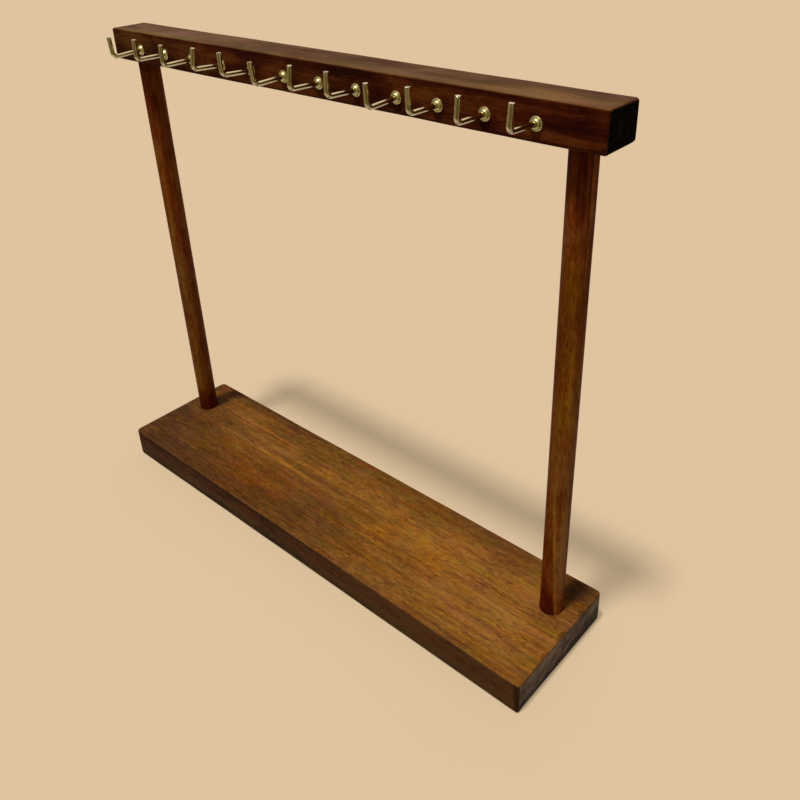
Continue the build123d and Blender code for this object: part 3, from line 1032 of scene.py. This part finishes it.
def metal_material(name, bright, dull, film_share, roughness, relief):
    """Handled metal: a bright colour that turns dull under film and spots, with drawn lines."""
    material, tree = new_material(name)
    place = in_millimetres(tree, (0.0, 0.0, 0.0))
    drawn = node(tree, "TexCoord").outputs["UV"]
    drawn = vector_maths(tree, "MULTIPLY", drawn, (1.0, 1 / mm, 1.0))
    surface = use_group(tree, metal_group, {"Place": place, "Lines": drawn})
    dulled = maths(tree, "MULTIPLY", surface["Film"], film_share)
    dulled = maths(tree, "MULTIPLY_ADD", surface["Spots"], 0.2, dulled, clamp=True)
    colour = mix_colour(tree, dulled, bright, dull)
    rough = maths(tree, "MULTIPLY_ADD", surface["Lines"], 0.08, roughness)
    rough = maths(tree, "MULTIPLY_ADD", dulled, 0.12, rough)
    inputs = {"Height": surface["Lines"], "Distance": relief, "Strength": 0.5}
    bump = node(tree, "Bump", inputs).outputs[0]
    inputs = {"Base Color": colour, "Metallic": 1.0, "Roughness": rough, "Normal": bump}
    show_surface(tree, node(tree, "BsdfPrincipled", inputs))
    return material


wire_brass = metal_material(
    "drawn_brass",
    (0.84, 0.74, 0.36, 1.0),
    (0.50, 0.43, 0.20, 1.0),
    film_share=0.3, roughness=0.07, relief=0.003 * mm,
)
for row in rows:
    for number in hook_numbers:
        name = f"brass_hook_{row}_{number:02d}"
        rings, along = hook_rings(*hook_seat(row, number), hook_reach[row], hook_rise[row])
        mesh = ring_mesh(name, rings, along=along)
        add_piece(name, mesh, wire_brass, f"hook_{row}_{number:02d}")


# Collars: small pressed brass bosses, one round each hook. A thin rim seats on the bar, a groove
# runs inside it, and the dome closes round the wire.
collar_profile = [  # millimetres: radius, and distance from the bar's face
    (1.40, 0.0), (2.90, 0.0), (3.12, 0.06), (3.20, 0.22), (3.17, 0.42), (3.02, 0.56),
    (2.84, 0.55), (2.68, 0.50), (2.52, 0.55), (2.44, 0.72), (2.38, 1.00), (2.24, 1.34),
    (2.00, 1.66), (1.74, 1.88), (1.54, 1.97), (1.42, 1.98), (1.37, 1.90), (1.37, 1.50),
    (1.40, 0.8),
]
collar_brass = metal_material(
    "pressed_brass",
    (0.92, 0.86, 0.36, 1.0),
    (0.55, 0.51, 0.18, 1.0),
    film_share=0.3, roughness=0.2, relief=0.003 * mm,
)
for row, side in rows.items():
    for number in hook_numbers:
        name = f"brass_collar_{row}_{number:02d}"
        mark = hook_seat(row, number)[0]
        profile = np.array(collar_profile) * mm
        rings = turned_rings(profile, mark, (0, side, 0), columns=40)
        mesh = ring_mesh(name, rings, closed=True, along=np.arange(len(profile)) * mm)
        add_piece(name, mesh, collar_brass, f"collar_{row}_{number:02d}")


# Post screws: countersunk steel screws with a cross recess, driven up through the base into
# the foot of each post.
screw_shank_radius = 1.6 * mm
screw_root_radius = 1.25 * mm
screw_head_land = 0.4 * mm
screw_plain_length = 7.0 * mm
screw_point_length = 4.0 * mm
screw_pitch = 1.4 * mm
recess_half_span = 1.8 * mm
recess_half_width = 0.45 * mm
recess_depth = 1.2 * mm
screw_columns = 48


def cross_outline(half_span, half_width):
    """Closed outline of a cross with square arms: 12 corners with even points between them."""
    s, w = half_span, half_width
    corners = [(s, -w), (s, w), (w, w), (w, s), (-w, s), (-w, w)]
    corners = np.array(corners + [(-x, -y) for x, y in corners])
    share = np.linspace(0, 1, screw_columns // 12, endpoint=False)[None, :, None]
    following = np.roll(corners, -1, axis=0)[:, None, :]
    return (corners[:, None, :] * (1 - share) + following * share).reshape(-1, 2)


def screw_rings(place_x):
    """Rings of a screw, head down: cross outlines in the recess, then circles with a thread."""
    start = screw_low.z
    length = screw_high.z - start
    rim = cross_outline(recess_half_span, recess_half_width)
    floor_line = cross_outline(recess_half_span * 0.72, recess_half_width * 0.72)
    turn = np.arctan2(rim[:, 1], rim[:, 0])
    circle = np.stack([np.cos(turn), np.sin(turn)], -1)
    cone = screw_head_radius - screw_shank_radius
    outlines = [floor_line * 0, floor_line, rim, circle * screw_head_radius * 0.8]
    heights = [recess_depth, recess_depth, 0, 0]
    for radius, height in (
        (screw_head_radius - 0.1 * mm, 0.0),
        (screw_head_radius, 0.1 * mm),
        (screw_head_radius, screw_head_land),
        (screw_shank_radius, screw_head_land + cone),
        (screw_shank_radius, screw_plain_length),
    ):
        outlines.append(circle * radius)
        heights.append(height)
    for height in np.arange(screw_plain_length, length - 0.4 * mm, screw_pitch / 8):
        taper = min(1, (length - height) / screw_point_length)
        ridge = 1 - np.abs((turn / (2 * pi) - height / screw_pitch) % 1 * 2 - 1)
        radius = (screw_root_radius + (screw_shank_radius - screw_root_radius) * ridge**2) * taper
        outlines.append(circle * radius[:, None])
        heights.append(height)
    outlines.append(circle * 0)
    heights.append(length)
    flat = np.array(outlines) + (place_x, post_y)
    heights = np.broadcast_to((np.array(heights) + start)[:, None, None], flat.shape[:2] + (1,))
    return np.concatenate([flat, heights], -1)


screw_steel = metal_material(
    "zinc_plated_steel",
    (0.62, 0.62, 0.60, 1.0),
    (0.30, 0.29, 0.27, 1.0),
    film_share=0.6, roughness=0.26, relief=0.01 * mm,
)
for end, place_x in (("left", -post_x), ("right", post_x)):
    name = f"steel_{end}_post_screw"
    rings = screw_rings(place_x)
    mesh = ring_mesh(name, rings, along=rings[:, 0, 2])
    add_piece(name, mesh, screw_steel, f"{end}_post_screw")
